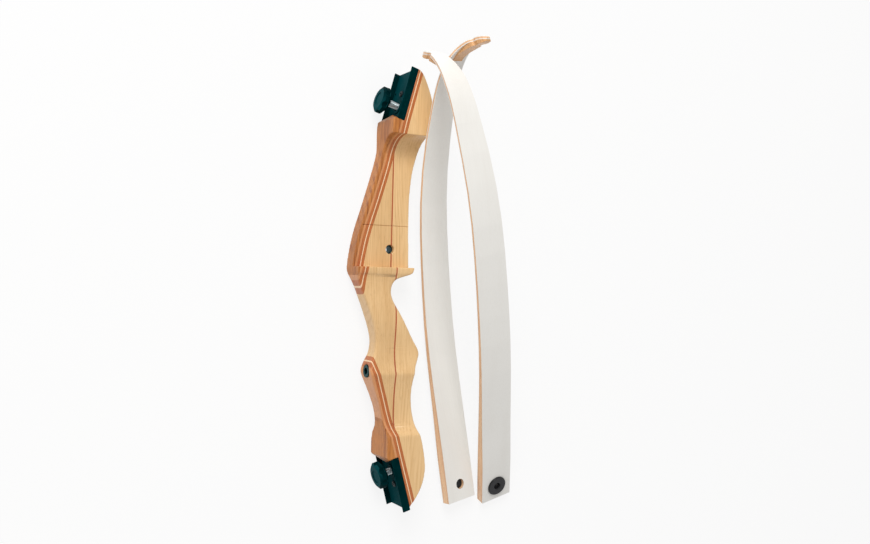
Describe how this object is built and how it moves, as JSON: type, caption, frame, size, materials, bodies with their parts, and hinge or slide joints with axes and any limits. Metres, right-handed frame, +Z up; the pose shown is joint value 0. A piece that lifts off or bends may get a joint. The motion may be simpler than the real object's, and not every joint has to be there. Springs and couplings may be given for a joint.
{
  "type": "recurve bow, taken down",
  "caption": "Takedown recurve bow laid out in pieces: laminated wooden riser with limb pockets and hand knobs, and two loose white-faced limbs.",
  "frame": {"origin": "centre of the whole set's bounding box, on the floor", "axes": "+Z up from the floor, +Y along the riser from its lower end to its upper end, +X from the riser towards the limbs"},
  "size_m": [0.2308, 0.5508, 0.1482],
  "materials": {
    "pale_block_wood": "satin",
    "middle_block_wood": "satin",
    "veneer_wood": "satin",
    "dark_strip_wood": "satin",
    "light_strip_wood": "satin",
    "tan_strip_wood": "satin",
    "back_block_wood": "satin",
    "pocket_plastic": "satin",
    "knob_plastic": "satin",
    "washer_plastic": "satin",
    "pocket_screw_metal": "satin",
    "insert_brass": "satin",
    "bolt_steel": "satin",
    "plunger_metal": "satin",
    "stabiliser_metal": "satin",
    "limb_glass": "gloss",
    "limb_core_wood": "satin",
    "limb_wedge_wood": "satin",
    "tip_wood": "satin",
    "limb_bushing_black": "satin"
  },
  "bodies": {
    "riser": {"riser_middle_block": "middle_block_wood", "upper_belly_block": "pale_block_wood", "lower_belly_block": "pale_block_wood", "upper_centre_veneer": "veneer_wood", "lower_centre_veneer": "veneer_wood", "upper_inner_dark_strip": "dark_strip_wood", "upper_light_strip": "light_strip_wood", "upper_outer_dark_strip": "dark_strip_wood", "upper_tan_strip": "tan_strip_wood", "upper_back_block": "back_block_wood", "lower_inner_dark_strip": "dark_strip_wood", "lower_light_strip": "light_strip_wood", "lower_outer_dark_strip": "dark_strip_wood", "lower_tan_strip": "tan_strip_wood", "lower_back_block": "back_block_wood", "upper_limb_pocket": "pocket_plastic", "lower_limb_pocket": "pocket_plastic", "upper_pocket_screw": "pocket_screw_metal", "lower_pocket_screw": "pocket_screw_metal", "upper_bolt_insert": "insert_brass", "lower_bolt_insert": "insert_brass", "plunger_bushing": "plunger_metal", "stabiliser_bushing": "stabiliser_metal"},
    "upper_bolt_carriage": {"upper_bolt_washer": "washer_plastic"},
    "upper_bolt_and_knob": {"upper_limb_bolt": "bolt_steel", "upper_knob": "knob_plastic"},
    "lower_bolt_carriage": {"lower_bolt_washer": "washer_plastic"},
    "lower_bolt_and_knob": {"lower_limb_bolt": "bolt_steel", "lower_knob": "knob_plastic"},
    "right_limb": {"right_back_glass": "limb_glass", "right_back_core": "limb_core_wood", "right_butt_wedge": "limb_wedge_wood", "right_belly_core": "limb_core_wood", "right_belly_glass": "limb_glass", "right_tip_overlay": "tip_wood", "right_limb_bushing": "limb_bushing_black"},
    "left_limb": {"left_back_glass": "limb_glass", "left_back_core": "limb_core_wood", "left_butt_wedge": "limb_wedge_wood", "left_belly_core": "limb_core_wood", "left_belly_glass": "limb_glass", "left_tip_overlay": "tip_wood", "left_limb_bushing": "limb_bushing_black"}
  },
  "joints": [
    {"name": "upper_bolt_travel", "type": "slide", "parent": "riser", "child": "upper_bolt_carriage", "axis": [-0.9636, 0.2672, 0], "range_m": [-0.009, 0.0025]},
    {"name": "upper_bolt_turn", "type": "hinge", "parent": "upper_bolt_carriage", "child": "upper_bolt_and_knob", "pos_m": [-0.08012, 0.21374, 0.023], "axis": [-0.9636, 0.2672, 0], "range_deg": [-2600, 725]},
    {"name": "lower_bolt_travel", "type": "slide", "parent": "riser", "child": "lower_bolt_carriage", "axis": [-0.9636, -0.2672, 0], "range_m": [-0.004, 0.008]},
    {"name": "lower_bolt_turn", "type": "hinge", "parent": "lower_bolt_carriage", "child": "lower_bolt_and_knob", "pos_m": [-0.07172, -0.22395, 0.023], "axis": [-0.9636, -0.2672, 0], "range_deg": [-1160, 2312]},
    {"name": "right_limb_lift", "type": "slide", "parent": "riser", "child": "right_limb", "axis": [0, 0, 1], "range_m": [0, 0.2]},
    {"name": "left_limb_swing", "type": "hinge", "parent": "riser", "child": "left_limb", "pos_m": [0.01913, -0.08374, 0], "axis": [0, 0, 1], "range_deg": [-10, 0]}
  ],
  "couplings": [
    {"joint": "upper_bolt_turn", "follows": "upper_bolt_travel", "rad_per_m": 5026.5},
    {"joint": "lower_bolt_turn", "follows": "lower_bolt_travel", "rad_per_m": 5026.5}
  ]
}
